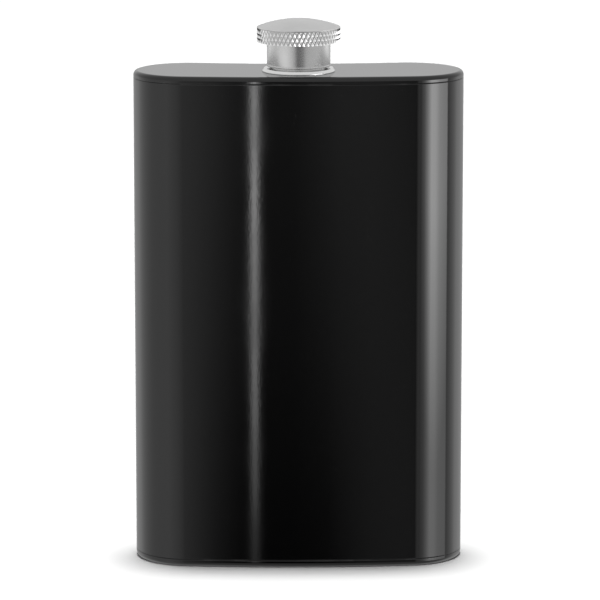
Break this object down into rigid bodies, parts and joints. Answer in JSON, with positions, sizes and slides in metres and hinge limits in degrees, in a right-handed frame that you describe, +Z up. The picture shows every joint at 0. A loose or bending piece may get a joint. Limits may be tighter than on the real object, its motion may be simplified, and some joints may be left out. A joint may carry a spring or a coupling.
{
  "type": "hip flask",
  "caption": "Kidney-section hip flask of painted sheet metal with a threaded neck and a knurled screw cap that turns and rises on its thread.",
  "frame": {"origin": "on the standing surface, in the middle of the outline's box", "axes": "+Z up through the neck, -Y towards the convex front, +Y towards the hollow back, X across the width"},
  "size_m": [0.092, 0.0326, 0.1531],
  "materials": {
    "sleeve_paint": "gloss black baked enamel on steel sheet",
    "lid_paint": "gloss black baked enamel on pressed steel",
    "base_paint": "gloss black baked enamel on pressed steel",
    "collar_metal": "bright turned ring",
    "spout_steel": "turned stainless steel",
    "cap_head_metal": "satin turned top, diamond-knurled side",
    "cap_skirt_metal": "satin turned",
    "liner_plastic": "moulded",
    "gasket_silicone": "soft silicone"
  },
  "bodies": {
    "flask": {"body_sleeve": "sleeve_paint", "top_lid": "lid_paint", "base_pan": "base_paint", "neck_collar": "collar_metal", "neck_tube": "spout_steel"},
    "seal": {"cap_gasket": "gasket_silicone"},
    "cap": {"cap_head": "cap_head_metal", "cap_skirt": "cap_skirt_metal", "cap_liner": "liner_plastic"}
  },
  "joints": [
    {"name": "cap_rise", "type": "slide", "parent": "flask", "child": "seal", "axis": [0, 0, 1], "range_m": [0, 0.01]},
    {"name": "cap_turn", "type": "hinge", "parent": "seal", "child": "cap", "pos_m": [0, -0.0025, 0.1385], "axis": [0, 0, 1], "range_deg": [0, 1440]}
  ],
  "couplings": [
    {"joint": "cap_rise", "follows": "cap_turn", "m_per_rad": 0.00039789}
  ]
}
